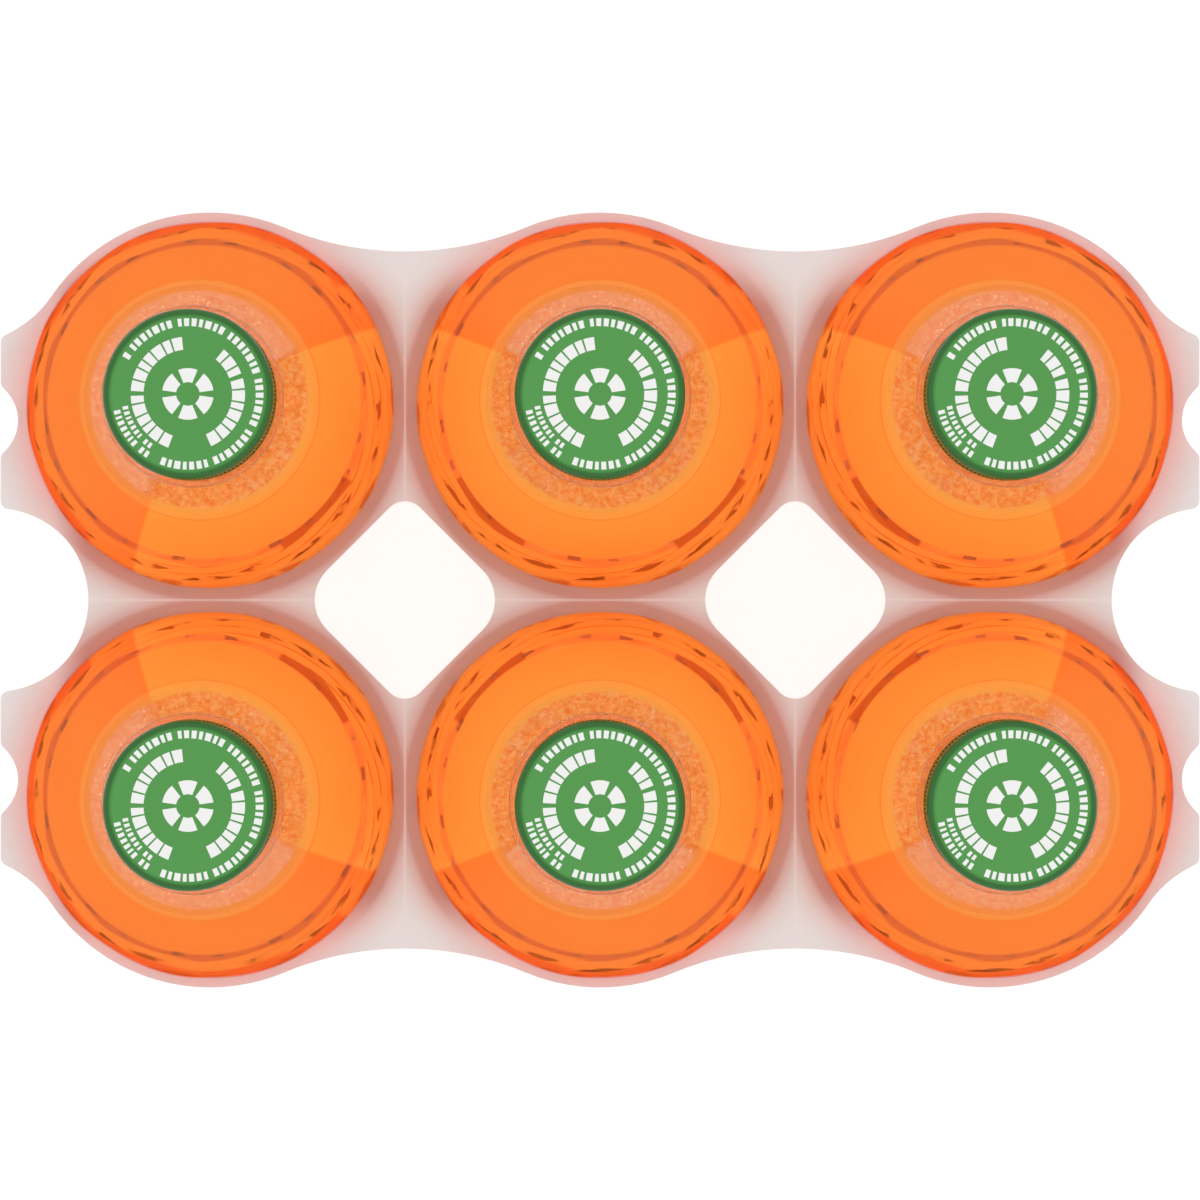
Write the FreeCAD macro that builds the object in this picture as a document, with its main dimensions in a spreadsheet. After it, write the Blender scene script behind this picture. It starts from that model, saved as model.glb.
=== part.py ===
"""Six pack of half-litre soda bottles held by a flexible ring carrier.

Three columns of two bottles stand on the floor. Each bottle is a thin blown shell with spiral
flutes, a filled drink and a ribbed screw cap. The carrier is one sheet that hugs all six.
Millimetres, +Z up, origin on the floor under the middle of the pack.
"""
import FreeCAD, Part

import math
import os
import re

import Sketcher

# Driving dimensions in millimetres, except where a count, a slope or turns are named.
SIZES = {
    # the pack
    "roomAcross": 3.9,          # between the bottles of two columns
    "roomDeep": 3.9,            # between the bottles of the two rows
    # bottle, from the floor up
    "wall": 0.9,                # blown wall
    "baseHeight": 29.0,         # feet and valleys
    "pushUp": 5.0,              # middle of the base over the floor
    "footHollow": 3.2,          # rise of the feet's inner sides towards the middle
    "footInset": 11.3,          # middle of the foot pads inside the largest radius
    "footPad": 5.0,             # pad, measured outwards
    "footRound": 2.2,           # edge of the pads
    "heelRound": 52.0,          # outer side of the feet
    "footCount": 5,
    "valleyReach": 1.2,         # run of each valley between two feet, past the largest radius
    "valleyTop": 3.6,           # rounded root of a valley, a radius
    "valleyFlare": 0.34,        # sideways opening per millimetre of depth
    "bodyRadius": 34.8,         # largest radius, at the heel and at the bump
    "heelBand": 6.0,
    "ringCount": 3,             # ring grooves of the grip
    "ringHeight": 5.4,
    "ringRound": 3.4,
    "ringEdge": 0.8,
    "landHeight": 2.8,          # between two ring grooves
    "landInset": 1.2,           # insets are taken from the largest radius
    "sillHeight": 3.4,          # band under the label panel
    "sillInset": 0.2,
    "stepHeight": 1.2,          # slope into and out of the panel
    "panelHeight": 46.8,        # bare panel where a label would go
    "panelInset": 1.3,
    "seatHeight": 8.4,          # band that the carrier grips
    "seatInset": 0.7,
    "bumpHeight": 8.0,          # rounded bulge that the carrier hooks under
    "fluteBandHeight": 18.0,    # fluted cone from the bump to the ridge
    "ridgeInset": 4.6,
    "ridgeStep": 0.6,           # drop from the ridge to the dome
    "domeHeight": 40.0,
    "domeRound": 560.0,         # nearly straight flank of the dome
    "domeTopFlare": 1.0,        # top of the dome outside the neck
    "neckRound": 9.0,           # throat between dome and support ring
    "neckHeight": 3.5,
    "boreRadius": 10.87,        # bore of a standard 28 mm finish
    "neckWall": 2.03,
    "finishWall": 1.58,
    "supportReach": 4.05,       # support ring outside the finish
    "supportHeight": 1.4,
    "supportRound": 0.5,
    "beadRise": 2.0,            # bead over the support ring that holds the tamper band
    "beadReach": 1.45,          # bead outside the finish
    "beadHeight": 1.4,
    "finishHeight": 15.3,       # support ring to mouth
    # flutes
    "fluteCount": 10,
    "fluteCutter": 7.0,         # radius of the round cutter
    "fluteDepth": 0.55,
    "fluteTurns": 0.30,         # turns over the fluted cone, rising anticlockwise
    "fluteRunDown": 6.5,        # the cutter runs out over the bump
    "fluteRunUp": 3.5,          # and over the ridge
    # drink
    "headspace": 37.7,          # mouth down to the drink
    # cap
    "capWall": 1.25,
    "capTopWall": 1.3,
    "capTopRound": 1.1,
    "capClear": 0.1,            # between the skirt and the bead
    "skirtHeight": 11.2,        # top of the cap down to the slit
    "slitHeight": 0.5,
    "bandHeight": 4.1,          # tamper band
    "bridgeCount": 12,          # bridges left across the slit
    "bridgeWidth": 1.3,
    "knurlCount": 120,
    "knurlRadius": 0.3,
    "knurlDepth": 0.22,
    "knurlTop": 0.9,            # plain edge over the grooves
    # carrier
    "sheet": 0.5,               # thickness
    "grip": 0.2,                # clearance from the bottle
    "collarHeight": 6.5,
    "hookDrop": 0.8,            # the flare starts this far under the foot of the bump
    "flareRound": 8.0,          # from the collar out to the flat web
    "rimMargin": 2.0,           # outer edge round each collar
    "saddleDip": 7.45,          # the edge falls back by this much between two columns
    "earMargin": 3.0,           # ear past the edge round the end collars
    "earLand": 8.3,             # from the thumb notch to the bite between the two ears
    "scallopOut": 0.7,          # centre of that round bite past the ear's edge
    "shoulderRadius": 20.7,     # hollow between ear and rim
    "shoulderSlope": 0.675,     # direction of its centre, rise over run
    "notchRadius": 8.3,         # thumb notch in each ear
    "notchDepth": 3.1,
    "notchShift": 2.95,         # notch centre inside the row axis
    "cornerRound": 1.6,         # ear and notch corners
    "gapMargin": 3.35,          # web between a collar and the straight side of a finger gap
    "gapSideRound": 8.0,        # corners that point to the neighbouring gaps
    "gapTipRound": 4.1,         # corners that point to the rows' outer sides
}

# Heights and points that follow from the sizes. Later rows may use earlier ones.
DERIVED = {
    "pitchAcross": "2 * bodyRadius + roomAcross",
    "pitchDeep": "2 * bodyRadius + roomDeep",
    "footRadius": "bodyRadius - footInset",
    "valleyRound": "bodyRadius + valleyReach",
    "landRadius": "bodyRadius - landInset",
    "sillRadius": "bodyRadius - sillInset",
    "panelRadius": "bodyRadius - panelInset",
    "seatRadius": "bodyRadius - seatInset",
    "ridgeRadius": "bodyRadius - ridgeInset",
    "neckRadius": "boreRadius + neckWall",
    "domeTopRadius": "neckRadius + domeTopFlare",
    "finishRadius": "boreRadius + finishWall",
    "supportRadius": "finishRadius + supportReach",
    "beadRadius": "finishRadius + beadReach",
    "bandTop": "baseHeight + heelBand",
    "ringStep": "ringHeight + landHeight",
    "sillFoot": "bandTop + ringCount * ringStep - landHeight",
    "sillTop": "sillFoot + sillHeight",
    "panelFoot": "sillTop + stepHeight",
    "panelTop": "panelFoot + panelHeight",
    "seatFoot": "panelTop + stepHeight",
    "bumpFoot": "seatFoot + seatHeight",
    "bumpTop": "bumpFoot + bumpHeight",
    "ridgeTop": "bumpTop + fluteBandHeight",
    "domeFoot": "ridgeTop + ridgeStep",
    "domeTop": "domeFoot + domeHeight",
    "supportFoot": "domeTop + neckHeight",
    "supportTop": "supportFoot + supportHeight",
    "beadFoot": "supportTop + beadRise",
    "beadTop": "beadFoot + beadHeight",
    "mouth": "supportTop + finishHeight",
    "capTop": "mouth + capTopWall",
    "slitTop": "capTop - skirtHeight",
    "slitFoot": "slitTop - slitHeight",
    "capFoot": "slitFoot - bandHeight",
    "capInside": "beadRadius + capClear",
    "capRadius": "capInside + capWall",
    "level": "mouth - headspace",
    # arc that bulges from the seat out to the body radius
    "bumpRound": "(bumpHeight * bumpHeight / 4 + seatInset * seatInset) / (2 * seatInset)",
    "valleyLean": "1 / sqrt(1 + valleyFlare * valleyFlare)",
    # carrier, seen from above, one quarter
    "collarRadius": "seatRadius + grip",
    "webTop": "bumpFoot - hookDrop + flareRound",
    "rowY": "pitchDeep / 2",
    "halfX": "pitchAcross / 2",
    "webReach": "halfX + rowY",
    "rimRadius": "collarRadius + rimMargin",
    "rimY": "rowY + rimRadius",
    "saddleReach": "rimRadius - saddleDip",
    "saddleRadius": "(saddleReach * saddleReach + halfX * halfX - rimRadius * rimRadius)"
                    " / (2 * (rimRadius - saddleReach))",
    "saddleY": "rowY + saddleReach + saddleRadius",
    "saddleShare": "rimRadius / (rimRadius + saddleRadius)",
    "saddleTouchX": "halfX * saddleShare",
    "saddleTouchY": "rowY + (saddleY - rowY) * saddleShare",
    "earX": "pitchAcross + rimRadius + earMargin",
    "shoulderCos": "1 / sqrt(1 + shoulderSlope * shoulderSlope)",
    "shoulderX": "pitchAcross + (rimRadius + shoulderRadius) * shoulderCos",
    "shoulderY": "rowY + (rimRadius + shoulderRadius) * shoulderCos * shoulderSlope",
    "rimTouchX": "pitchAcross + rimRadius * shoulderCos",
    "rimTouchY": "rowY + rimRadius * shoulderCos * shoulderSlope",
    "notchX": "earX + notchRadius - notchDepth",
    "notchY": "rowY - notchShift",
    "scallopX": "earX + scallopOut",
    "scallopRadius": "notchY - notchRadius - earLand",
    "cornerX": "earX - cornerRound",
    # finger gap, half of its diagonal with sharp corners
    "gapHalf": "halfX + rowY - sqrt(2) * (collarRadius + gapMargin)",
}

doc = FreeCAD.newDocument("SodaSixPack")
sheet = doc.addObject("Spreadsheet::Sheet", "Sizes")


def fill_sheet():
    """One row for each value: name, value, and the name again as the cell's alias."""
    rows = {name: str(value) for name, value in SIZES.items()}
    rows.update({name: "=" + formula for name, formula in DERIVED.items()})
    for row, (name, content) in enumerate(rows.items(), start=1):
        sheet.set(f"A{row}", name)
        sheet.set(f"B{row}", content)
        sheet.setAlias(f"B{row}", name)
    doc.recompute()


def bound(text):
    """The text as an expression on the sheet's cells."""
    return re.sub(r"[A-Za-z]\w*(?![\w(])", lambda word: "Sizes." + word.group(), text)


def value(text):
    """The number that the text gives now."""
    return float(sheet.evalExpression(bound(text)))


def bind(item, path, text):
    item.setExpression(path, bound(text))


def plane(body, role):
    return next(part for part in body.Origin.OriginFeatures if part.Role == role)


def new_sketch(body, name, role, lift=None):
    """A sketch on one of the body's own planes, moved along that plane's normal by lift."""
    sketch = body.newObject("Sketcher::SketchObject", name)
    sketch.AttachmentSupport = [(plane(body, role), "")]
    sketch.MapMode = "FlatFace"
    if lift:
        bind(sketch, "AttachmentOffset.Base.z", lift)
    return sketch


def arc_geometry(start, end, radius, turn):
    """The shorter arc from start to end. turn is 1 anticlockwise and -1 clockwise."""
    chord = end - start
    rise = math.sqrt(max(radius ** 2 - chord.Length ** 2 / 4, 0))
    side = FreeCAD.Vector(-chord.y, chord.x, 0).normalize()
    centre = start + chord / 2 + side * rise * turn
    first, last = (start, end) if turn > 0 else (end, start)
    angles = [math.atan2(point.y - centre.y, point.x - centre.x) for point in (first, last)]
    circle = Part.Circle(centre, FreeCAD.Vector(0, 0, 1), radius)
    return Part.ArcOfCircle(circle, angles[0], angles[1])


def draw(sketch, corners):
    """A closed outline. A corner is (x, y), or (x, y, radius, turn) where an arc leads to it."""
    points = [FreeCAD.Vector(value(corner[0]), value(corner[1]), 0) for corner in corners]
    edges = []
    for index, corner in enumerate(corners):
        start, end = points[index - 1], points[index]
        if len(corner) == 2:
            edge = sketch.addGeometry(Part.LineSegment(start, end), False)
            edges.append((edge, 1, 2))
            continue
        radius, turn = corner[2], corner[3]
        edge = sketch.addGeometry(arc_geometry(start, end, value(radius), turn), False)
        edges.append((edge, 1, 2) if turn > 0 else (edge, 2, 1))
        rule = sketch.addConstraint(Sketcher.Constraint("Radius", edge, value(radius)))
        bind(sketch, f"Constraints[{rule}]", radius)
    for index, corner in enumerate(corners):
        edge, _, end = edges[index]
        following, start, _ = edges[(index + 1) % len(corners)]
        sketch.addConstraint(Sketcher.Constraint("Coincident", edge, end, following, start))
        for kind, axis, text in (("DistanceX", -2, corner[0]), ("DistanceY", -1, corner[1])):
            if text == "0":
                sketch.addConstraint(Sketcher.Constraint("PointOnObject", edge, end, axis))
                continue
            rule = sketch.addConstraint(Sketcher.Constraint(kind, -1, 1, edge, end, value(text)))
            bind(sketch, f"Constraints[{rule}]", text)


def add_axis(sketch, start, end):
    """A construction line between two points given as texts, for a revolution to turn about."""
    ends = [FreeCAD.Vector(value(x), value(y), 0) for x, y in (start, end)]
    line = sketch.addGeometry(Part.LineSegment(*ends), True)
    for place, point in ((1, start), (2, end)):
        for kind, text in zip(("DistanceX", "DistanceY"), point):
            rule = sketch.addConstraint(Sketcher.Constraint(kind, -1, 1, line, place, value(text)))
            bind(sketch, f"Constraints[{rule}]", text)


def revolve(body, kind, sketch, axis="V_Axis", angle=360):
    feature = body.newObject("PartDesign::" + kind, sketch.Name + kind)
    feature.Profile = sketch
    feature.ReferenceAxis = (sketch, [axis])
    feature.Angle = angle
    return feature


def pattern_round(body, feature, count):
    """Copies of the feature about the body's own Z axis."""
    pattern = body.newObject("PartDesign::PolarPattern", feature.Name + "Round")
    pattern.Originals = [feature]
    pattern.Axis = (feature.Profile[0], ["V_Axis"])
    if feature.TypeId == "PartDesign::Pocket":
        pattern.Axis = (feature.Profile[0], ["N_Axis"])
    pattern.Angle = 360
    bind(pattern, "Occurrences", count)
    body.Tip = pattern
    return pattern


def round_circles(body, base, name, radius, circles):
    """Fillets on the base's edges that lie on circles given by radius and height."""
    doc.recompute()
    wanted = [(value(around), value(height)) for around, height in circles]
    edges = []
    for index, edge in enumerate(base.Shape.Edges, start=1):
        if not isinstance(edge.Curve, Part.Circle):
            continue
        centre = edge.Curve.Center
        spot = (edge.Curve.Radius + math.hypot(centre.x, centre.y), centre.z)
        if any(math.dist(spot, other) < 1e-4 for other in wanted):
            edges.append(f"Edge{index}")
    fillet = body.newObject("PartDesign::Fillet", name)
    fillet.Base = (base, edges)
    bind(fillet, "Radius", radius)
    return fillet


def grip_outline(inset):
    """Ring grooves from the heel band up, with a land between each two."""
    corners = []
    for index in range(int(value("ringCount")) - 1):
        foot = f"bandTop + {index} * ringStep"
        corners.append((f"landRadius - {inset}", f"{foot} + ringHeight", "ringRound", -1))
        corners.append((f"landRadius - {inset}", f"{foot} + ringStep"))
    return corners


def bottle_outline(inset):
    """Half section from the base to the top of the dome, moved inwards by inset."""
    return [
        ("0", f"footHollow + {inset}"),
        ("footRadius - footPad / 2", inset),
        ("footRadius + footPad / 2", inset),
        (f"bodyRadius - {inset}", "baseHeight", "heelRound", 1),
        (f"bodyRadius - {inset}", "bandTop"),
        *grip_outline(inset),
        (f"sillRadius - {inset}", "sillFoot", "ringRound", -1),
        (f"sillRadius - {inset}", "sillTop"),
        (f"panelRadius - {inset}", "panelFoot"),
        (f"panelRadius - {inset}", "panelTop"),
        (f"seatRadius - {inset}", "seatFoot"),
        (f"seatRadius - {inset}", "bumpFoot"),
        (f"seatRadius - {inset}", "bumpTop", "bumpRound", 1),
        (f"ridgeRadius - {inset}", "ridgeTop"),
        (f"ridgeRadius - ridgeStep - {inset}", "domeFoot"),
        (f"domeTopRadius - {inset}", "domeTop", "domeRound", 1),
    ]


def neck_outline():
    """Throat, support ring, bead and finish, up to the mouth and back to the axis."""
    return [
        ("neckRadius", "supportFoot", "neckRound", -1),
        ("supportRadius", "supportFoot"),
        ("supportRadius", "supportTop"),
        ("neckRadius", "supportTop"),
        ("neckRadius", "beadFoot"),
        ("beadRadius", "beadFoot + beadHeight / 3"),
        ("beadRadius", "beadFoot + beadHeight / 2"),
        ("finishRadius", "beadTop"),
        ("finishRadius", "mouth"),
        ("0", "mouth"),
    ]


def bore_outline():
    """Inside of the neck, carried on past the mouth so that the bore is open."""
    return [
        ("boreRadius", "supportFoot"),
        ("boreRadius", "capTop"),
        ("0", "capTop"),
    ]


def cut_valleys(body, name, inset):
    """Valleys between the feet: a rounded slot turned about an axis across the base."""
    sketch = new_sketch(body, name, "YZ_Plane")
    top = f"(valleyTop + {inset})"
    root = f"(pushUp + {inset} - {top})"
    edge_x = f"{top} * valleyLean"
    edge_z = f"{root} + {top} * valleyLean * valleyFlare"
    depth = "(valleyRound / 2)"
    foot_x = f"{edge_x} + ({edge_z} + {depth}) * valleyFlare"
    draw(sketch, [
        (f"-({foot_x})", f"-{depth}"),
        (f"-{edge_x}", edge_z),
        (edge_x, edge_z, top, -1),
        (foot_x, f"-{depth}"),
    ])
    height = "pushUp + valleyRound"
    add_axis(sketch, ("-bodyRadius", height), ("bodyRadius", height))
    groove = revolve(body, "Groove", sketch, axis="Axis0", angle=85)
    return pattern_round(body, groove, "footCount")


def add_circle(sketch, radius, x, y):
    """A circle held by its radius and its centre, all given as texts."""
    centre = FreeCAD.Vector(value(x), value(y), 0)
    circle = Part.Circle(centre, FreeCAD.Vector(0, 0, 1), value(radius))
    edge = sketch.addGeometry(circle, False)
    rules = [(Sketcher.Constraint("Radius", edge, value(radius)), radius),
             (Sketcher.Constraint("DistanceX", -1, 1, edge, 3, centre.x), x)]
    if y == "0":
        sketch.addConstraint(Sketcher.Constraint("PointOnObject", edge, 3, -1))
    else:
        rules.append((Sketcher.Constraint("DistanceY", -1, 1, edge, 3, centre.y), y))
    for rule, text in rules:
        bind(sketch, f"Constraints[{sketch.addConstraint(rule)}]", text)


def cut_flutes(body, name):
    """Spiral flutes of a round cutter on the cone between the bump and the ridge."""
    slope = "((seatRadius - ridgeRadius) / fluteBandHeight)"
    height = "(fluteRunDown + fluteBandHeight + fluteRunUp)"
    foot_radius = f"(seatRadius + {slope} * fluteRunDown)"
    sketch = new_sketch(body, name, "XZ_Plane")
    add_circle(sketch, "fluteCutter", f"{foot_radius} + fluteCutter - fluteDepth",
               "bumpTop - fluteRunDown")
    helix = body.newObject("PartDesign::SubtractiveHelix", name + "Helix")
    helix.Profile = sketch
    helix.ReferenceAxis = (sketch, ["V_Axis"])
    helix.Mode = "height-turns-growth"
    bind(helix, "Height", height)
    bind(helix, "Turns", f"fluteTurns * {height} / fluteBandHeight")
    bind(helix, "Growth", f"-{slope} * fluteBandHeight / fluteTurns")
    return pattern_round(body, helix, "fluteCount")


def make_blank():
    """The bottle's outer form, solid."""
    body = doc.addObject("PartDesign::Body", "BottleBlank")
    sketch = new_sketch(body, "BlankSection", "XZ_Plane")
    draw(sketch, bottle_outline("0") + neck_outline())
    revolve(body, "Revolution", sketch)
    cut_valleys(body, "Valley", "0")
    cut_flutes(body, "Flute")
    pads = [("footRadius - footPad / 2", "0"), ("footRadius + footPad / 2", "0")]
    rounded = round_circles(body, body.Tip, "FootRound", "footRound", pads)
    ring = [("supportRadius", "supportFoot"), ("supportRadius", "supportTop")]
    rounded = round_circles(body, rounded, "SupportRound", "supportRound", ring)
    edges = [("bodyRadius", "bandTop"), ("sillRadius", "sillFoot")]
    edges += [corner[:2] for corner in grip_outline("0")]
    round_circles(body, rounded, "RingEdge", "ringEdge", edges)
    return body


def make_cavity():
    """The bottle's inside, from the base to past the mouth."""
    body = doc.addObject("PartDesign::Body", "BottleCavity")
    sketch = new_sketch(body, "CavitySection", "XZ_Plane")
    draw(sketch, bottle_outline("wall") + bore_outline())
    revolve(body, "Revolution", sketch)
    cut_valleys(body, "CavityValley", "wall")
    return body


def make_bottle(blank, cavity):
    bottle = doc.addObject("Part::Cut", "Bottle")
    bottle.Base = blank
    bottle.Tool = cavity
    return bottle


def make_drink(cavity):
    """What fills the cavity up to the level."""
    reach = doc.addObject("Part::Cylinder", "UpToLevel")
    bind(reach, "Radius", "bodyRadius")
    bind(reach, "Height", "level")
    drink = doc.addObject("Part::Common", "Drink")
    drink.Base = cavity
    drink.Tool = reach
    return drink


def make_cap():
    """Screw cap with its tamper band, joined to it by the bridges across a slit."""
    body = doc.addObject("PartDesign::Body", "Cap")
    section = new_sketch(body, "CapSection", "XZ_Plane")
    draw(section, [
        ("0", "mouth"),
        ("capInside", "mouth"),
        ("capInside", "capFoot"),
        ("capRadius", "capFoot"),
        ("capRadius", "capTop - capTopRound"),
        ("capRadius - capTopRound", "capTop", "capTopRound", 1),
        ("0", "capTop"),
    ])
    revolve(body, "Revolution", section)

    slit = new_sketch(body, "Slit", "XY_Plane", lift="slitFoot")
    half = "bridgeWidth / 2"
    inner = "(capInside - capWall)"
    outer = "(capRadius + capWall)"
    lean = "tan(360 / bridgeCount)"
    draw(slit, [
        (inner, half),
        (outer, half),
        (outer, f"{outer} * {lean} - {half}"),
        (inner, f"{inner} * {lean} - {half}"),
    ])
    cut = body.newObject("PartDesign::Pocket", "SlitCut")
    cut.Profile = slit
    cut.Reversed = True
    bind(cut, "Length", "slitHeight")
    pattern_round(body, cut, "bridgeCount")

    knurl = new_sketch(body, "Knurl", "XY_Plane", lift="slitTop")
    add_circle(knurl, "knurlRadius", "capRadius + knurlRadius - knurlDepth", "0")
    groove = body.newObject("PartDesign::Pocket", "KnurlCut")
    groove.Profile = knurl
    groove.Reversed = True
    bind(groove, "Length", "skirtHeight - capTopRound - knurlTop")
    pattern_round(body, groove, "knurlCount")
    return body


def funnel_outline(gap, brim):
    """Half section from a bottle's axis out to its collar and up the flare, wider by gap."""
    centre = "pitchAcross"
    collar = f"{centre} + collarRadius + {gap}"
    return [
        (centre, "webTop - flareRound - collarHeight"),
        (collar, "webTop - flareRound - collarHeight"),
        (collar, "webTop - flareRound"),
        (f"{centre} + collarRadius + flareRound", f"webTop - {gap}", f"flareRound - {gap}", -1),
        *brim,
        (centre, "webTop"),
    ]


def six_times(body, feature):
    """The feature of the last column, repeated over the other columns and the other row."""
    grid = body.newObject("PartDesign::MultiTransform", feature.Name + "Six")
    grid.Originals = [feature]
    columns = body.newObject("PartDesign::LinearPattern", feature.Name + "Columns")
    columns.Direction = (plane(body, "X_Axis"), [""])
    columns.Reversed = True
    bind(columns, "Length", "2 * pitchAcross")
    columns.Occurrences = 3
    rows = body.newObject("PartDesign::Mirrored", feature.Name + "Rows")
    rows.MirrorPlane = (plane(body, "XZ_Plane"), [""])
    grid.Transformations = [columns, rows]
    body.Tip = grid
    return grid


def corner(centre_x, centre_y, radius, side):
    """A rounded corner between the ear's straight edge and a round bite in it.

    Gives the height of its centre and where it meets the bite. side is 1 above the bite.
    """
    reach = f"({radius} + cornerRound)"
    offset = f"({centre_x} - cornerX)"
    height = f"({centre_y} {side} sqrt({reach} * {reach} - {offset} * {offset}))"
    share = f"({radius} / {reach})"
    touch = (f"({centre_x} - {offset} * {share})",
             f"({centre_y} + ({height} - {centre_y}) * {share})")
    return height, touch


def quarter_outline():
    """What is cut away outside the sheet in the quarter of +X and +Y."""
    shoulder_y, shoulder_touch = corner("shoulderX", "shoulderY", "shoulderRadius", "-")
    upper_y, upper_touch = corner("notchX", "notchY", "notchRadius", "+")
    lower_y, lower_touch = corner("notchX", "notchY", "notchRadius", "-")
    ear_y, ear_touch = corner("scallopX", "0", "scallopRadius", "+")
    outside = "earX + webReach"
    return [
        ("0", "rimY"),
        ("saddleTouchX", "saddleTouchY", "rimRadius", -1),
        ("pitchAcross - saddleTouchX", "saddleTouchY", "saddleRadius", 1),
        ("rimTouchX", "rimTouchY", "rimRadius", -1),
        (*shoulder_touch, "shoulderRadius", 1),
        ("earX", shoulder_y, "cornerRound", -1),
        ("earX", upper_y),
        (*upper_touch, "cornerRound", -1),
        (*lower_touch, "notchRadius", 1),
        ("earX", lower_y, "cornerRound", -1),
        ("earX", ear_y),
        (*ear_touch, "cornerRound", -1),
        ("scallopX - scallopRadius", "0", "scallopRadius", 1),
        (outside, "0"),
        (outside, "rimY + webReach"),
        ("0", "rimY + webReach"),
    ]


def gap_outline():
    """Upper half of the diamond finger gap between four bottles."""
    side = "(gapSideRound / sqrt(2))"
    tip = "(gapTipRound / sqrt(2))"
    point = "(gapHalf - gapSideRound * (sqrt(2) - 1))"
    return [
        (f"halfX + {point}", "0"),
        (f"halfX + gapHalf - {side}", side, "gapSideRound", 1),
        (f"halfX + {tip}", f"gapHalf - {tip}"),
        (f"halfX - {tip}", f"gapHalf - {tip}", "gapTipRound", 1),
        (f"halfX - gapHalf + {side}", side),
        (f"halfX - {point}", "0", "gapSideRound", 1),
    ]


def cut_quarters(body, name, corners):
    """A pocket right through the sheet, mirrored into all four quarters."""
    sketch = new_sketch(body, name, "XY_Plane", lift="webTop")
    draw(sketch, corners)
    cut = body.newObject("PartDesign::Pocket", name + "Cut")
    cut.Profile = sketch
    cut.SideType = "Symmetric"
    bind(cut, "Length", "4 * (flareRound + collarHeight)")
    quarters = body.newObject("PartDesign::MultiTransform", name + "Quarters")
    quarters.Originals = [cut]
    mirrors = []
    for role in ("YZ_Plane", "XZ_Plane"):
        mirror = body.newObject("PartDesign::Mirrored", name + role[:2])
        mirror.MirrorPlane = (plane(body, role), [""])
        mirrors.append(mirror)
    quarters.Transformations = mirrors
    body.Tip = quarters


def make_carrier():
    """One sheet with six collars. Its surface flares out from each collar to a flat web."""
    body = doc.addObject("PartDesign::Body", "Carrier")
    far = "pitchAcross + webReach"
    brim = [(far, "webTop - sheet"), (far, "webTop")]
    for name, kind, gap, edge in (("Web", "Revolution", "sheet", brim),
                                  ("Opening", "Groove", "0", [])):
        sketch = new_sketch(body, name, "XZ_Plane", lift="-rowY")
        draw(sketch, funnel_outline(gap, edge))
        add_axis(sketch, ("pitchAcross", "0"), ("pitchAcross", "webTop"))
        six_times(body, revolve(body, kind, sketch, axis="Axis0"))
    cut_quarters(body, "Outline", quarter_outline())
    cut_quarters(body, "FingerGap", gap_outline())
    body.Label = "carrier"
    return body


def place_six(name, master):
    """The master at each of the six seats, numbered from the left end of the front row."""
    links = []
    for index in range(6):
        row, column = divmod(index, 3)
        link = doc.addObject("App::Link", f"{name}_{index + 1}")
        link.LinkedObject = master
        link.Label = f"{name}_{index + 1}"
        bind(link, "Placement.Base.x", f"{column - 1} * pitchAcross")
        bind(link, "Placement.Base.y", f"{2 * row - 1} * rowY")
        links.append(link)
    return links


def check_document():
    """Stops on an object that failed to build."""
    for item in doc.Objects:
        bad = {"Invalid", "Error"} & set(item.State)
        if bad:
            raise RuntimeError(f"{item.Name}: {sorted(bad)}")


def write(item):
    shape = Part.getShape(item)
    if shape.isNull() or not shape.isValid() or len(shape.Solids) != 1:
        raise RuntimeError(f"{item.Label}: not one sound solid")
    shape.Solids[0].exportStep(f"parts/{item.Label}.step")
    print(f"{item.Label}: {shape.Volume / 1000:.2f} ml, {len(shape.Faces)} faces")


fill_sheet()
blank = make_blank()
cavity = make_cavity()
subparts = place_six("bottle", make_bottle(blank, cavity))
subparts += place_six("drink", make_drink(cavity))
subparts += place_six("cap", make_cap())
subparts.append(make_carrier())
doc.recompute()
check_document()
os.makedirs("parts", exist_ok=True)
for subpart in subparts:
    write(subpart)
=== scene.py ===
import math
import random

import bpy
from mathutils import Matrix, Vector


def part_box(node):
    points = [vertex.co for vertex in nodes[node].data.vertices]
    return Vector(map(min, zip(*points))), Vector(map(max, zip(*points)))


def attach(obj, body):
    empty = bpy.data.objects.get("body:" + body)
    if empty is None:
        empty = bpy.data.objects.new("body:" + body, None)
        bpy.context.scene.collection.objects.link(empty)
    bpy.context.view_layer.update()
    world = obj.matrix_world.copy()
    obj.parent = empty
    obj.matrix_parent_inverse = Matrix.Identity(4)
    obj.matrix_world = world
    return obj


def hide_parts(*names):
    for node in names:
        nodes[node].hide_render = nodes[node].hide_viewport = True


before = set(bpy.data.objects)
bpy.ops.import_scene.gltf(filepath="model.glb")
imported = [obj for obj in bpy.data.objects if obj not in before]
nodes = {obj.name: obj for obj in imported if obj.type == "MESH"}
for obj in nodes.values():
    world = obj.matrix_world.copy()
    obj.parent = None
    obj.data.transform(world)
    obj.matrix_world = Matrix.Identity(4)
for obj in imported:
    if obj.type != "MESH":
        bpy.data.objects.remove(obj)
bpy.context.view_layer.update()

mm = 0.001
bottleNumbers = range(1, 7)


def axisOf(number):
    low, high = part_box(f"bottle_{number}")
    return (low[0] + high[0]) / 2, (low[1] + high[1]) / 2


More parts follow.
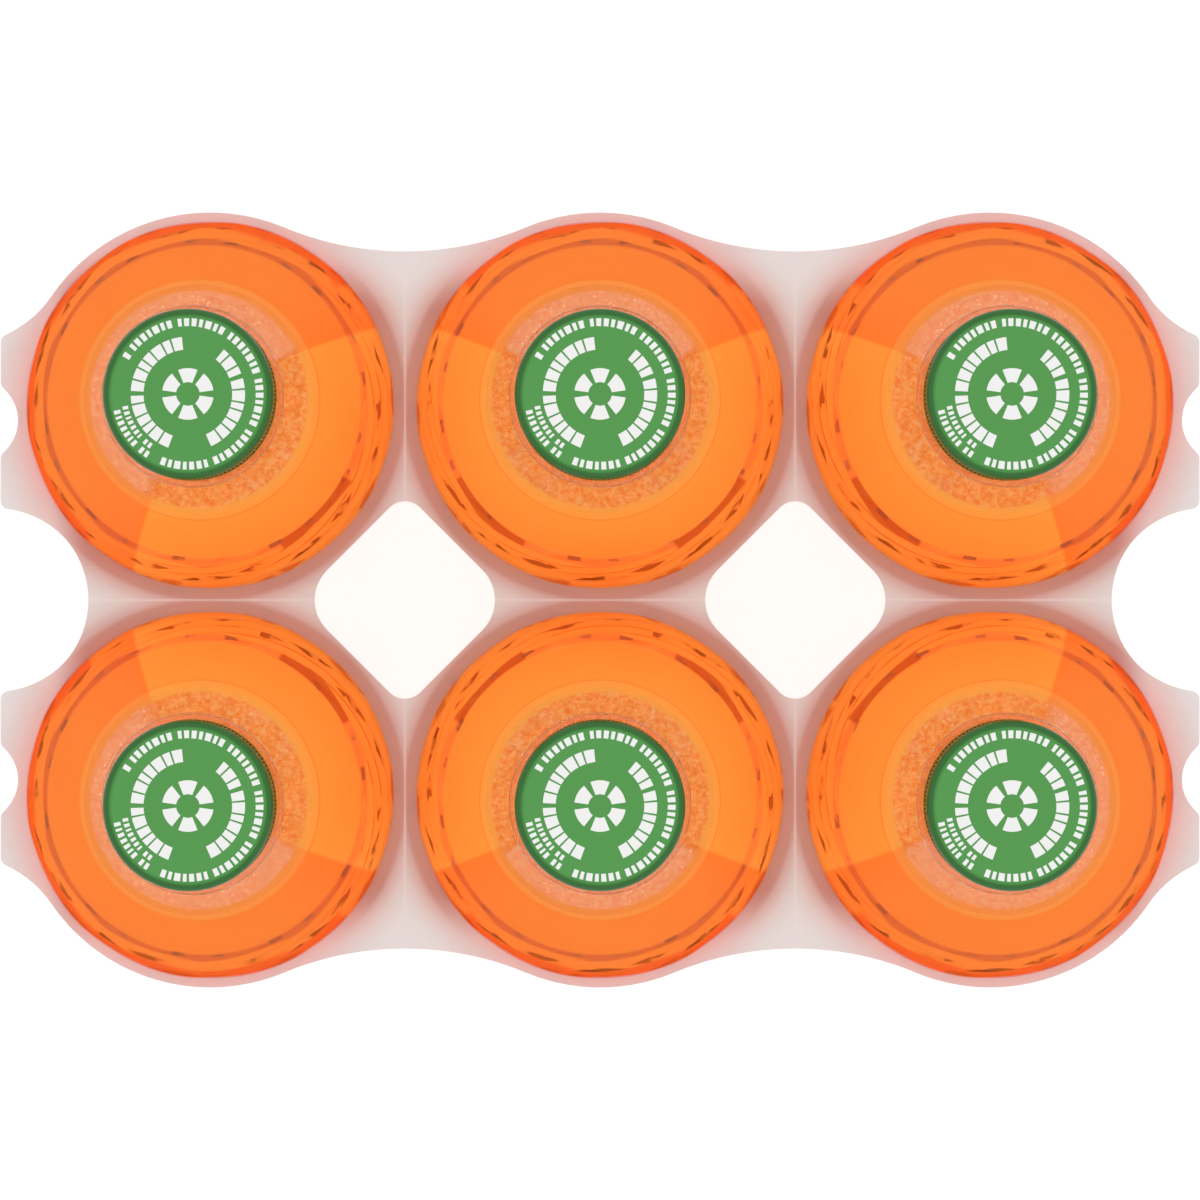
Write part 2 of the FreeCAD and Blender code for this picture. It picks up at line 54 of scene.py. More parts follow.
axes = {number: axisOf(number) for number in bottleNumbers}
pitchX = axes[2][0] - axes[1][0]             # between the columns
pitchY = axes[4][1] - axes[1][1]             # between the rows
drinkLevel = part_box("drink_1")[1][2]
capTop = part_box("cap_1")[1][2]
print("frame loaded: pitch", round(pitchX / mm, 2), round(pitchY / mm, 2))


def linear(hexText):
    # sRGB hex to the linear colour a shader takes
    values = [int(hexText[start:start + 2], 16) / 255 for start in (1, 3, 5)]
    return [v / 12.92 if v <= 0.04045 else ((v + 0.055) / 1.055) ** 2.4 for v in values] + [1]


def addNode(tree, kind, settings=None, inputs=None):
    # one node; an input takes a number, a colour, a socket, or a node for its first output
    node = tree.nodes.new("ShaderNode" + kind)
    for name, setting in (settings or {}).items():
        setattr(node, name, setting)
    for name, source in (inputs or {}).items():
        if isinstance(source, bpy.types.Node):
            source = source.outputs[0]
        if isinstance(source, bpy.types.NodeSocket):
            tree.links.new(source, node.inputs[name])
        else:
            node.inputs[name].default_value = source
    return node


def calc(tree, operation, *values):
    return addNode(tree, "Math", {"operation": operation}, dict(enumerate(values)))


def times(tree, *factors):
    product = factors[0]
    for factor in factors[1:]:
        product = calc(tree, "MULTIPLY", product, factor)
    return product


def softStep(tree, value, start, end):
    # 0 at start and 1 at end, rounded at both; start may be the larger one
    return addNode(tree, "MapRange", {"interpolation_type": "SMOOTHSTEP"},
                   {"Value": value, "From Min": start, "From Max": end})


def between(tree, value, low, high, soft):
    # 1 where value lies from low to high, with soft ends
    return times(tree, softStep(tree, value, low - soft, low + soft),
                 softStep(tree, value, high + soft, high - soft))


def noise(tree, place, size, detail=2.0, roughness=0.5):
    # grain with lumps of about the given size in mm
    return addNode(tree, "TexNoise", {}, {"Vector": place, "Scale": 1 / (size * mm),
                                          "Detail": detail, "Roughness": roughness})


def colourRamp(tree, value, stops):
    # stops are pairs of place and hex colour, or place and amount of grey
    node = addNode(tree, "ValToRGB", {}, {0: value})
    elements = node.color_ramp.elements
    while len(elements) < len(stops):
        elements.new(0.5)
    for element, (place, colour) in zip(elements, stops):
        element.position = place
        element.color = linear(colour) if isinstance(colour, str) else (colour, colour, colour, 1)
    return node


def tint(tree, base, factor, colour):
    # lays a colour over base by factor; inputs 6 and 7 and output 2 are the node's colour sockets
    base, colour = (linear(end) if isinstance(end, str) else end for end in (base, colour))
    mix = addNode(tree, "Mix", {"data_type": "RGBA"}, {"Factor": factor, 6: base, 7: colour})
    return mix.outputs[2]


def roughen(tree, shader, height, strength, depth):
    relief = addNode(tree, "Bump", {}, {"Strength": strength, "Distance": depth * mm, "Height": height})
    tree.links.new(relief.outputs[0], shader.inputs["Normal"])


def newMaterial(name, settings):
    material = bpy.data.materials.new(name)
    material.use_nodes = True
    material.cycles.emission_sampling = "NONE"                 # the soft glows are no lamps, which saves time
    tree = material.node_tree
    shader = tree.nodes["Principled BSDF"]
    for key, setting in settings.items():
        shader.inputs[key].default_value = setting
    return material, tree, shader


def wear(piece, material):
    piece.data.materials.clear()
    piece.data.materials.append(material)


def pickOnly(piece):
    bpy.ops.object.select_all(action="DESELECT")
    piece.select_set(True)
    bpy.context.view_layer.objects.active = piece


def pickFaces(piece, wanted):
    # edit mode with just the faces that pass the test selected
    pickOnly(piece)
    bpy.ops.object.mode_set(mode="EDIT")
    bpy.ops.mesh.select_mode(type="FACE")
    bpy.ops.mesh.select_all(action="DESELECT")
    bpy.ops.object.mode_set(mode="OBJECT")
    for face in piece.data.polygons:
        face.select = wanted(face)
    bpy.ops.object.mode_set(mode="EDIT")


def joined(pieces, name):
    pickOnly(pieces[0])
    for piece in pieces:
        piece.select_set(True)
    bpy.ops.object.join()
    whole = bpy.context.active_object
    whole.name = name
    return whole


def copyTo(piece, name, shift):
    # the piece again with its own mesh, moved by shift
    twin = piece.copy()
    twin.data = piece.data.copy()
    twin.name = name
    bpy.context.scene.collection.objects.link(twin)
    for vertex in twin.data.vertices:
        vertex.co.x += shift[0]
        vertex.co.y += shift[1]
    return twin


def shiftFromFirst(number):
    return axes[number][0] - axes[1][0], axes[number][1] - axes[1][1]


def seenDirectly(tree, *kinds):
    # 1 for rays from the eye, whether straight or by one of the kinds named
    lightPath = addNode(tree, "LightPath")
    seen = lightPath.outputs["Is Camera Ray"]
    for kind in kinds:
        seen = calc(tree, "MAXIMUM", seen, lightPath.outputs[f"Is {kind} Ray"])
    return seen


# studio: a light tent, so all light comes softly from the world; floor and camera
studio = {
    "floorSize": 6.0, "floorColour": "#9A9A9A", "floorGlow": 0.90,
    "worldStrength": 0.90,
    "cameraHeight": 1.676, "lens": 247.3, "sensor": 36,
}
scene = bpy.context.scene
scene.view_settings.view_transform = "Standard"
world = bpy.data.worlds.new("studioAir")
scene.world = world
world.use_nodes = True
airTree = world.node_tree
air = airTree.nodes["Background"]
air.inputs["Color"].default_value = (1, 1, 1, 1)
strength = addNode(airTree, "MapRange", {}, {"Value": seenDirectly(airTree, "Transmission"),
                                             "To Min": studio["worldStrength"], "To Max": 1.0})
airTree.links.new(strength.outputs[0], air.inputs["Strength"])


def makePaper():
    # matt background paper: dull, so it keeps only the pack's soft shadow, and glows white to the eye
    material, tree, shader = newMaterial("mattPaperWhite", {
        "Base Color": linear(studio["floorColour"]), "Roughness": 0.9, "Specular IOR Level": 0.1,
        "Emission Color": (1, 1, 1, 1)})
    glow = times(tree, seenDirectly(tree, "Transmission", "Glossy"), studio["floorGlow"])
    tree.links.new(glow.outputs[0], shader.inputs["Emission Strength"])
    return material


bpy.ops.mesh.primitive_plane_add(size=studio["floorSize"])
floor = bpy.context.active_object
floor.name = "floor"
wear(floor, makePaper())

bpy.ops.object.camera_add(location=(0, 0, studio["cameraHeight"]), rotation=(0, 0, 0))
camera = bpy.context.active_object
camera.data.lens = studio["lens"]
camera.data.sensor_width = studio["sensor"]
scene.camera = camera
print("studio ready")


def bottleCoordinates(tree):
    # place in the pack, and on one bottle: across from its own axis, height, radius and angle
    place = addNode(tree, "TexCoord").outputs["Object"]
    split = addNode(tree, "SeparateXYZ", {}, {0: place})
    x, y, height = (split.outputs[axis] for axis in "XYZ")
    localX = calc(tree, "WRAP", x, pitchX / 2, -pitchX / 2)
    localY = calc(tree, "SUBTRACT", calc(tree, "WRAP", y, pitchY, 0.0), pitchY / 2)
    flat = addNode(tree, "CombineXYZ", {}, {0: localX, 1: localY})
    radius = addNode(tree, "VectorMath", {"operation": "LENGTH"}, {0: flat}).outputs["Value"]
    return {"object": place, "x": x, "y": y, "height": height, "flat": flat, "radius": radius,
            "angle": calc(tree, "ARCTAN2", localY, localX)}


def facing(tree, spot, reach):
    # the point of the pack that a bottle's side looks at, reach away from the bottle's axis
    turn = addNode(tree, "VectorMath", {"operation": "NORMALIZE"}, {0: spot["flat"]})
    out = addNode(tree, "VectorMath", {"operation": "SCALE"}, {0: turn, "Scale": reach})
    flatPlace = addNode(tree, "CombineXYZ", {}, {0: spot["x"], 1: spot["y"]})
    axis = addNode(tree, "VectorMath", {"operation": "SUBTRACT"}, {0: flatPlace, 1: spot["flat"]})
    point = addNode(tree, "VectorMath", {"operation": "ADD"}, {0: axis, 1: out})
    mirrored = addNode(tree, "VectorMath", {"operation": "ABSOLUTE"}, {0: point})
    return addNode(tree, "SeparateXYZ", {}, {0: mirrored})


def openSide(tree, spot, reach, soft):
    # 1 where a bottle's side looks out of the pack, 0 where it looks at a neighbour
    point = facing(tree, spot, reach)
    pastX, pastY = (softStep(tree, point.outputs[axis], limit - soft, limit + soft)
                    for axis, limit in (("X", 1.5 * pitchX), ("Y", pitchY)))
    return calc(tree, "MAXIMUM", pastX, pastY)


def gapSide(tree, spot, reach, half, soft):
    # 1 where a bottle's side looks at a finger gap between four bottles
    point = facing(tree, spot, reach)
    across = calc(tree, "ABSOLUTE", calc(tree, "SUBTRACT", point.outputs["X"], pitchX / 2))
    away = calc(tree, "ADD", across, point.outputs["Y"])
    return softStep(tree, away, half + soft, half - soft)


# drink: lengths in mm, levels as heights over the floor
drink = {
    "glow": 0.28,                            # painted glow: emission standing for light that spreads inside the drink
    "clearWall": 0.25,                       # left outside the drink
    "climb": [(0.3, 0.3), (0.8, 0.3)],       # in from the edge and down, where it climbs the wall
    "levels": {"bump": 125.8, "ridge": 143.8, "surface": drinkLevel / mm},
    # painted reflection and shade: the body is lighter where it faces a neighbour, darker where it looks out
    # of the pack
    "bodyInner": "#FE9A3E", "bodyOpen": "#FE7D2D",
    "cloudSize": 14.0, "cloudShare": 0.12, "cloud": "#FFB45E",
    "domeReach": 87.0, "bandReach": 55.0, "openSoft": 1.2,     # how far each side looks for a neighbour
    "gapReach": 52.0, "gapHalf": 21.5, "gapSoft": 1.0,
    "shoulder": [                            # painted shade and reflection; level, from and to over it, soft end, side, share, colour
        ("bump", -9.0, 3.0, 1.2, "openBand", 0.8, "#F2561C"),
        ("ridge", -3.2, 1.2, 0.4, "all", 0.45, "#F0713C"),
        ("ridge", -3.2, 1.2, 0.4, "openDome", 0.7, "#D2602E"),
        ("ridge", -4.5, 1.0, 0.3, "gap", 0.75, "#C4501A"),
    ],
    "top": [                                 # the same, for the last millimetres under the surface: a painted highlight ring, painted shade on the outward side and a painted dark line below
        ("surface", -2.6, 2.0, 0.25, "all", 0.9, "#FCA24A"),
        ("surface", -2.6, 2.0, 0.25, "openDome", 0.6, "#F88438"),
        ("surface", -3.2, -2.7, 0.15, "all", 0.6, "#E87C2D"),
    ],
    "fluteCount": 10,
    # painted shade: dark streaks in the flutes, standing for light bent by the fluted wall
    "paintedStreaks": [                               # start and width in degrees, level, foot, height,
        (12, 5, "bump", 1.6, 11.0, 6.0, "#B9440E", 0.85),      # lean in degrees per mm, colour, share
        (22, 4, "bump", -3.0, 15.0, 6.0, "#DE6A2C", 0.8),
        (31, 4, "bump", 3.0, 9.0, 6.0, "#C9541C", 0.8),
        (3, 11, "bump", 0.3, 2.6, 2.6, "#96400E", 0.85),
        (9, 9, "bump", 2.4, 1.8, 3.2, "#8A3A0E", 0.8),
        (24, 7, "bump", 5.2, 2.2, 3.0, "#9C3A0A", 0.75),
        (5, 5, "ridge", -2.6, 3.2, 0.0, "#9E5236", 0.75),
        (20, 4, "ridge", -1.6, 1.8, 0.0, "#A95E40", 0.6),
        (28, 8, "bump", -5.5, 2.4, 4.0, "#C04A16", 0.6),
    ],
    "markInset": 0.03, "markSoft": 0.018,    # start within a flute and soft side, shares of a flute
    "markEndSoft": 0.25,
    "markBreak": 4.5,                        # size of the patches where marks fade
    "fade": (0.40, 0.50, 0.15),              # patch values from faded to full, and the least that is kept
    "markScatter": 2.0,                      # how far up or down each flute's marks lie
    "foam": [(0.36, "#EA7A34"), (0.5, "#FA9348"), (0.64, "#FCAA68")],
    "foamGrain": 0.9, "foamDetail": 3.0, "foamRoughness": 0.75,
    "foamFrom": -0.9, "foamTo": 2.0, "foamSoft": 0.1,
    "neckRadius": 19.9, "neckSoft": 0.3,
    # painted shade on the foam where the side looks out of the pack
    "foamOpen": "#EC7420", "foamOpenShare": 0.45,
}


def layBands(tree, colour, spot, bands, sides):
    # painted light and shade as tints over bands of height, each all round or only on one kind of side
    for level, low, high, soft, side, share, hue in bands:
        base = drink["levels"][level]
        band = between(tree, spot["height"], (base + low) * mm, (base + high) * mm, soft * mm)
        factors = [band, share] if side == "all" else [band, sides[side], share]
        colour = tint(tree, colour, times(tree, *factors), hue)
    return colour


def layPaintedStreaks(tree, colour, spot):
    # painted shade: the same dark streaks in each flute, standing for light bent by the fluted wall, leaning
    # along the spiral, a little higher or lower from one to the next
    flute = 360 / drink["fluteCount"]
    turn = calc(tree, "MULTIPLY", spot["angle"], drink["fluteCount"] / math.tau)
    ownHeight = addNode(tree, "TexWhiteNoise", {"noise_dimensions": "1D"}, {"W": calc(tree, "FLOOR", turn)})
    scatter = drink["markScatter"] * mm
    height = calc(tree, "MULTIPLY_ADD", ownHeight.outputs["Value"], scatter, spot["height"])
    fadeFrom, fadeTo, least = drink["fade"]
    kept = addNode(tree, "MapRange", {}, {"Value": noise(tree, spot["object"], drink["markBreak"]),
                                          "From Min": fadeFrom, "From Max": fadeTo, "To Min": least})
    for start, width, level, foot, tall, lean, hue, share in drink["paintedStreaks"]:
        low = drink["levels"][level] + foot
        slant = calc(tree, "MULTIPLY_ADD", spot["height"], -lean / flute / mm, (low * lean - start) / flute)
        place = calc(tree, "FRACT", calc(tree, "ADD", turn, slant))
        inset = drink["markInset"]
        line = between(tree, place, inset, inset + width / flute, drink["markSoft"])
        foot = low * mm + scatter / 2
        reach = between(tree, height, foot, foot + tall * mm, drink["markEndSoft"] * mm)
        colour = tint(tree, colour, times(tree, reach, line, kept, share), hue)
    return colour


def makeSoda():
    # a clouded drink, with a painted glow for the light it scatters inside, so it looks soft and even; the
    # wall over it gives the gloss
    material, tree, shader = newMaterial("cloudedOrangeSoda", {
        "Roughness": 0.30, "IOR": 1.34, "Specular IOR Level": 0.0, "Emission Strength": drink["glow"]})
    spot = bottleCoordinates(tree)
    openSoft = drink["openSoft"] * mm
    sides = {
        "openDome": openSide(tree, spot, drink["domeReach"] * mm, openSoft),
        "openBand": openSide(tree, spot, drink["bandReach"] * mm, openSoft),
        "gap": gapSide(tree, spot, drink["gapReach"] * mm, drink["gapHalf"] * mm, drink["gapSoft"] * mm),
    }
    # painted reflection and shade: lighter where a side faces a neighbour, darker where it looks out of the
    # pack
    colour = tint(tree, drink["bodyInner"], sides["openDome"], drink["bodyOpen"])
    cloud = noise(tree, spot["object"], drink["cloudSize"], detail=3.0)
    colour = tint(tree, colour, times(tree, cloud, drink["cloudShare"]), drink["cloud"])
    # painted shade and reflection in bands along the shoulder's bump and ridge
    colour = layBands(tree, colour, spot, drink["shoulder"], sides)
    # painted shade: dark streaks along the flutes
    colour = layPaintedStreaks(tree, colour, spot)
    # painted highlight ring and painted shade just under the surface
    colour = layBands(tree, colour, spot, drink["top"], sides)
    # foam of fine bubbles on the surface
    grain = noise(tree, spot["object"], drink["foamGrain"], drink["foamDetail"], drink["foamRoughness"])
    foam = colourRamp(tree, grain, drink["foam"])
    surface = between(tree, spot["height"], drinkLevel + drink["foamFrom"] * mm,
                      drinkLevel + drink["foamTo"] * mm, drink["foamSoft"] * mm)
    neck, neckSoft = drink["neckRadius"] * mm, drink["neckSoft"] * mm
    foamArea = times(tree, surface, softStep(tree, spot["radius"], neck + neckSoft, neck - neckSoft))
    colour = tint(tree, colour, foamArea, foam)
    # painted shade: the foam is darker where the side looks out of the pack
    colour = tint(tree, colour, times(tree, foamArea, sides["openDome"], drink["foamOpenShare"]),
                  drink["foamOpen"])
    tree.links.new(colour, shader.inputs["Base Color"])
    tree.links.new(colour, shader.inputs["Emission Color"])
    return material


# the drink's shape is the bottle's outer skin up to its level, drawn in by the clear wall
first = copyTo(nodes["bottle_1"], "sodaFill_1", (0, 0))
pickOnly(first)
bpy.ops.object.mode_set(mode="EDIT")
bpy.ops.mesh.select_mode(type="VERT")
bpy.ops.mesh.select_all(action="SELECT")
bpy.ops.mesh.remove_doubles(threshold=0.001 * mm)
bpy.ops.mesh.bisect(plane_co=(0, 0, drinkLevel), plane_no=(0, 0, 1), clear_outer=True)
bpy.ops.mesh.separate(type="LOOSE")                            # outer skin and inner wall
bpy.ops.object.mode_set(mode="OBJECT")
skins = sorted(bpy.context.selected_objects, key=lambda skin: skin.dimensions.x)
first = skins.pop()
for skin in skins:
    bpy.data.objects.remove(skin)
pickOnly(first)
bpy.ops.object.mode_set(mode="EDIT")
bpy.ops.mesh.select_all(action="SELECT")
bpy.ops.transform.shrink_fatten(value=-drink["clearWall"] * mm)
bpy.ops.mesh.select_all(action="DESELECT")
bpy.ops.mesh.select_non_manifold()
bpy.ops.mesh.edge_face_add()
bpy.ops.mesh.normals_make_consistent(inside=False)
bpy.ops.mesh.select_mode(type="FACE")
for inward, down in drink["climb"]:
    bpy.ops.mesh.inset(thickness=inward * mm, depth=-down * mm)
bpy.ops.object.mode_set(mode="OBJECT")
bpy.ops.object.shade_smooth_by_angle(angle=math.radians(35))
first.name = "sodaFill_1"
wear(first, makeSoda())
for number in bottleNumbers:
    fill = first if number == 1 else copyTo(first, f"sodaFill_{number}", shiftFromFirst(number))
    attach(fill, "root")
    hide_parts(f"drink_{number}")
print("drinks made,", len(first.data.polygons), "faces each")


# fizz: fine bubbles afloat in the neck, modelled once and scattered; lengths in mm
fizz = {
    "count": 600, "inner": 12.0, "outer": 19.4, "small": 0.10, "large": 0.26, "seed": 11,
    "sink": 0.6, "flatness": 0.7,            # how deep they lie under the drink's top, and their height
    "grain": 1.5, "colours": [(0.35, "#F08440"), (0.5, "#FA9C58"), (0.65, "#FEB680")],
}


def makeFroth():
    # bubbles of drink film: paler than the drink, as light scatters at each skin, and uneven in colour; they
    # carry the drink's painted glow
    material, tree, shader = newMaterial("sodaFoamBubbles", {
        "Roughness": 0.3, "IOR": 1.34, "Specular IOR Level": 0.1, "Emission Strength": drink["glow"]})
    place = addNode(tree, "TexCoord").outputs["Object"]
    colour = colourRamp(tree, noise(tree, place, fizz["grain"]), fizz["colours"])
    tree.links.new(colour.outputs[0], shader.inputs["Base Color"])
    tree.links.new(colour.outputs[0], shader.inputs["Emission Color"])
    return material


bpy.ops.mesh.primitive_ico_sphere_add(subdivisions=1, radius=1.0)
seedBubble = bpy.context.active_object
seedBubble.name = "fizzBubbles_1"
chance = random.Random(fizz["seed"])
floatHeight = drinkLevel - fizz["sink"] * mm
bubbles = []
for count in range(fizz["count"]):
    turn = chance.uniform(0, math.tau)
    far = math.sqrt(chance.uniform(fizz["inner"] ** 2, fizz["outer"] ** 2)) * mm
    size = chance.uniform(fizz["small"], fizz["large"]) * mm
    bubble = seedBubble.copy()
    bubble.data = seedBubble.data.copy()
    bpy.context.scene.collection.objects.link(bubble)
    x, y = axes[1][0] + far * math.cos(turn), axes[1][1] + far * math.sin(turn)
    for vertex in bubble.data.vertices:
        vertex.co = (x + vertex.co.x * size, y + vertex.co.y * size,
                     floatHeight + vertex.co.z * size * fizz["flatness"])
    bubbles.append(bubble)
bpy.data.objects.remove(seedBubble)
firstFizz = joined(bubbles, "fizzBubbles_1")
bpy.ops.object.shade_smooth()
wear(firstFizz, makeFroth())
for number in bottleNumbers:
    name = f"fizzBubbles_{number}"
    fizzPiece = firstFizz if number == 1 else copyTo(firstFizz, name, shiftFromFirst(number))
    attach(fizzPiece, "root")
print("fizz made,", len(firstFizz.data.polygons), "faces each")


# bottle wall; over the drink of the shoulder it hardly shows, while the upright body,
# the empty neck and the thick mouth show more
wall = {
    "wave": 9.0, "waveHeight": 0.05, "waveStrength": 0.3,      # mm, mm, share
    "top": 210.0,                            # height where both lists end, mm
    "shown": [(0.0, 0.34), (118.0, 0.30), (124.0, 0.04), (166.0, 0.04), (168.0, 0.07), (183.0, 0.11),
              (186.5, 0.60), (210.0, 0.60)],                   # height in mm, share of wall that shows
    # painted reflection: an orange band at the support ring
    "glass": [(0.0, "#FFF6EC"), (0.880, "#FFF6EC"), (0.895, "#EDB27E"), (0.905, "#FFF6EC")],
}


def makePet():
    # PET, stretch blown: a thin clear wall with a mirror-smooth, faintly wavy skin
    material, tree, shader = newMaterial("blownClearPet", {
        "Roughness": 0.04, "IOR": 1.57, "Transmission Weight": 1.0})
    spot = bottleCoordinates(tree)
    level = addNode(tree, "MapRange", {}, {"Value": spot["height"], "From Max": wall["top"] * mm})
    glass = colourRamp(tree, level, wall["glass"])             # painted reflection: the support ring takes on the drink's orange
    shown = colourRamp(tree, level, [(height / wall["top"], share) for height, share in wall["shown"]])
    tree.links.new(glass.outputs["Color"], shader.inputs["Base Color"])
    tree.links.new(shown.outputs["Color"], shader.inputs["Alpha"])
    ripple = noise(tree, spot["object"], wall["wave"], detail=1.0)
    roughen(tree, shader, ripple, wall["waveStrength"], wall["waveHeight"])
    return material


# cap: bright face, with painted shade where the edge rounds down to the knurls
cap = {
    "outer": 16.0,                           # radius where the colours end, mm
    "colours": [(0.0, "#4D9C43"), (0.84, "#4C9D45"), (0.868, "#3F8F37"), (0.89, "#1F6A17"), (1.0, "#185A11")],
    "grain": 0.8, "grainDepth": 0.05, "grainStrength": 0.06,   # mm, mm, share
}


def makeHdpe():
    # HDPE, injection moulded: a waxy half-matt face with the faint grain of the mould
    material, tree, shader = newMaterial("mouldedGreenHdpe", {"Roughness": 0.38, "IOR": 1.54})
    spot = bottleCoordinates(tree)
    share = addNode(tree, "MapRange", {}, {"Value": spot["radius"], "From Max": cap["outer"] * mm})
    # painted shade: darker towards the rounded rim
    colour = colourRamp(tree, share, cap["colours"])
    tree.links.new(colour.outputs[0], shader.inputs["Base Color"])
    grain = noise(tree, spot["object"], cap["grain"])
    roughen(tree, shader, grain, cap["grainStrength"], cap["grainDepth"])
    return material


pet, hdpe = makePet(), makeHdpe()
for number in bottleNumbers:
    wear(nodes[f"bottle_{number}"], pet)
    wear(nodes[f"cap_{number}"], hdpe)
print("bottles and caps dressed")

# plain print on the caps: rings of blocks; lengths in mm, turns and widths in degrees
capPrint = {
    "ink": 0.04,                             # thickness of the ink
    "space": 2, "wideSpace": 5, "group": 7,  # between blocks, and after each group of this many
    "rows": [
        {"inner": 2.1, "outer": 4.6,
         "blocks": [(turn, 44 if turn % 120 else 28) for turn in range(8, 368, 60)]},
        {"inner": 7.9, "outer": 10.2, "start": 96, "end": 258, "widths": (11, 8, 12, 9, 7, 11)},
        {"inner": 7.9, "outer": 10.2, "start": -66, "end": 58, "widths": (12, 10, 8, 11, 7)},
        {"inner": 12.1, "outer": 13.5, "start": -112, "end": 152, "widths": (4, 3, 5, 3, 4, 4, 3)},
        {"inner": 12.4, "outer": 13.6, "start": 193, "end": 238, "widths": (3, 2, 3, 3)},
        {"inner": 10.9, "outer": 11.9, "start": 191, "end": 236, "widths": (3, 3, 2, 3)},
    ],
}


def blockRow(row):
    # blocks of the given widths in turn along an arc
    blocks, turn = [], row["start"]
    while turn + max(row["widths"]) <= row["end"]:
        width = row["widths"][len(blocks) % len(row["widths"])]
        blocks.append((turn, width))
        turn += width + (capPrint["space"] if len(blocks) % capPrint["group"] else capPrint["wideSpace"])
    return blocks


def printRing(row, centre):
    # a flat ring of one-degree faces; those between the blocks are deleted
    bpy.ops.mesh.primitive_circle_add(vertices=360, radius=row["inner"] * mm,
                                      location=(centre[0], centre[1], capTop))
    ring = bpy.context.active_object
    bpy.ops.object.transform_apply(location=True)
    bpy.ops.object.mode_set(mode="EDIT")
    bpy.ops.mesh.select_mode(type="VERT")
    bpy.ops.mesh.select_all(action="SELECT")
    bpy.ops.mesh.extrude_region_move()
    bpy.ops.object.mode_set(mode="OBJECT")
    wide = row["outer"] / row["inner"]
    for vertex in ring.data.vertices:
        if vertex.select:
            vertex.co.x = centre[0] + (vertex.co.x - centre[0]) * wide
            vertex.co.y = centre[1] + (vertex.co.y - centre[1]) * wide
    blocks = row.get("blocks") or blockRow(row)

    def isBare(face):
        turn = math.degrees(math.atan2(face.center.y - centre[1], face.center.x - centre[0]))
        return not any((turn - start) % 360 < sweep for start, sweep in blocks)

    pickFaces(ring, isBare)
    bpy.ops.mesh.delete(type="FACE")
    bpy.ops.mesh.select_all(action="SELECT")
    bpy.ops.mesh.extrude_region_move(TRANSFORM_OT_translate={"value": (0, 0, capPrint["ink"] * mm)})
    bpy.ops.mesh.select_all(action="SELECT")
    bpy.ops.mesh.normals_make_consistent(inside=False)
    bpy.ops.object.mode_set(mode="OBJECT")
    return ring


# white ink, pad printed: a thin dense film with crisp edges, duller than the cap under it
ink = newMaterial("padPrintedWhiteInk", {"Base Color": linear("#FDFDFB"), "Roughness": 0.5})[0]
firstPrint = joined([printRing(row, axes[1]) for row in capPrint["rows"]], "capPrint_1")
wear(firstPrint, ink)
for number in bottleNumbers:
    mark = firstPrint if number == 1 else copyTo(firstPrint, f"capPrint_{number}", shiftFromFirst(number))
    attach(mark, "root")
print("cap print made,", len(firstPrint.data.polygons), "faces each")

# carrier film; lengths in mm
sheet = {
    "face": "#BCBCBC", "backLight": 0.35,
    # painted shade, rose, in the narrow places between bottles
    "roseShade": [(0.0, "#DAB1A6"), (0.13, "#E9D4D1"), (0.43, "#F5F2EE"), (1.0, "#FFFFFF")],
    "tintFrom": 36.6, "tintTo": 43.6,        # from a bottle's axis
    "inX": (96.0, 104.0), "inY": (54.0, 66.0),                 # where the tint fades out
    "grain": 2.2, "milkShare": 0.10, "grainDepth": 0.05, "grainStrength": 0.15,
    "creaseWidth": 0.20, "creaseSoft": 0.15, "creaseShare": 0.5, "creaseHighlight": "#FFFFFF",
    "edgeFrom": 0.35, "edgeTo": 0.1, "edgeShare": 0.5, "mottleAndSideShade": "#BDB7B4",   # upward part of the normal
}


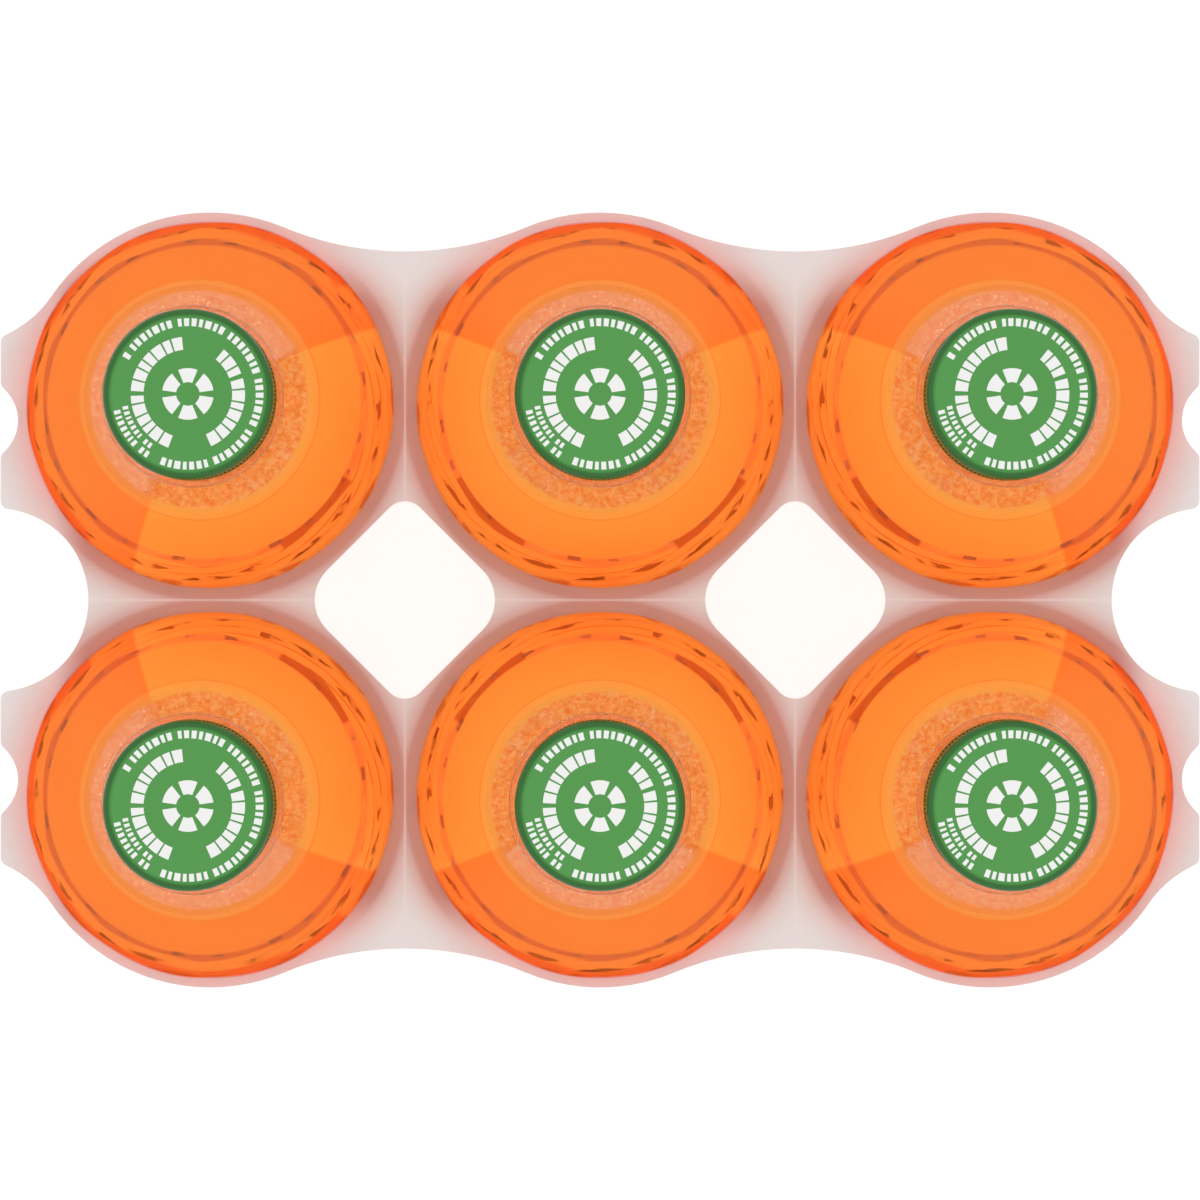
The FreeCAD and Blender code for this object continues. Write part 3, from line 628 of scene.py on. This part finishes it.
def makeFilm():
    # LDPE film, die cut: milky and limp. A painted glow stands for light from under it spreading through;
    # painted rose shade lies in the narrow places between two bottles, a painted highlight along the creases
    # midway between them, and painted shade makes it greyer where its surface turns sideways
    material, tree, shader = newMaterial("dieCutLdpeFilm", {
        "Roughness": 0.42, "IOR": 1.51, "Emission Strength": sheet["backLight"]})
    spot = bottleCoordinates(tree)
    # painted rose shade near the bottles, fading out towards the pack's outline
    away = addNode(tree, "MapRange", {}, {"Value": spot["radius"], "From Min": sheet["tintFrom"] * mm,
                                          "From Max": sheet["tintTo"] * mm})
    roseShade = colourRamp(tree, away, sheet["roseShade"])
    fades = [softStep(tree, calc(tree, "ABSOLUTE", place), high * mm, low * mm)
             for place, (low, high) in ((spot["x"], sheet["inX"]), (spot["y"], sheet["inY"]))]
    shade = tint(tree, "#FFFFFF", times(tree, *fades), roseShade)
    milk = noise(tree, spot["object"], sheet["grain"], detail=4.0)
    shade = tint(tree, shade, times(tree, milk, sheet["milkShare"]), sheet["mottleAndSideShade"])
    half = sheet["creaseWidth"] * mm
    # painted highlight: a white line along the creases midway between bottles
    for place, middle in ((calc(tree, "ABSOLUTE", spot["x"]), pitchX / 2), (spot["y"], 0.0)):
        line = between(tree, place, middle - half, middle + half, sheet["creaseSoft"] * mm)
        shade = tint(tree, shade, times(tree, line, sheet["creaseShare"]), sheet["creaseHighlight"])
    # painted shade: greyer where the surface turns sideways
    normal = addNode(tree, "SeparateXYZ", {}, {0: addNode(tree, "NewGeometry").outputs["Normal"]})
    side = addNode(tree, "MapRange", {}, {"Value": calc(tree, "ABSOLUTE", normal.outputs["Z"]),
                                          "From Min": sheet["edgeFrom"], "From Max": sheet["edgeTo"]})
    shade = tint(tree, shade, times(tree, side, sheet["edgeShare"]), sheet["mottleAndSideShade"])
    body = addNode(tree, "Mix", {"data_type": "RGBA", "blend_type": "MULTIPLY"},
                   {"Factor": 1.0, 6: shade, 7: linear(sheet["face"])})
    tree.links.new(body.outputs[2], shader.inputs["Base Color"])
    # painted glow: the film glows in its own shaded colour
    tree.links.new(shade, shader.inputs["Emission Color"])
    roughen(tree, shader, milk, sheet["grainStrength"], sheet["grainDepth"])
    return material


wear(nodes["carrier"], makeFilm())
print("carrier dressed")
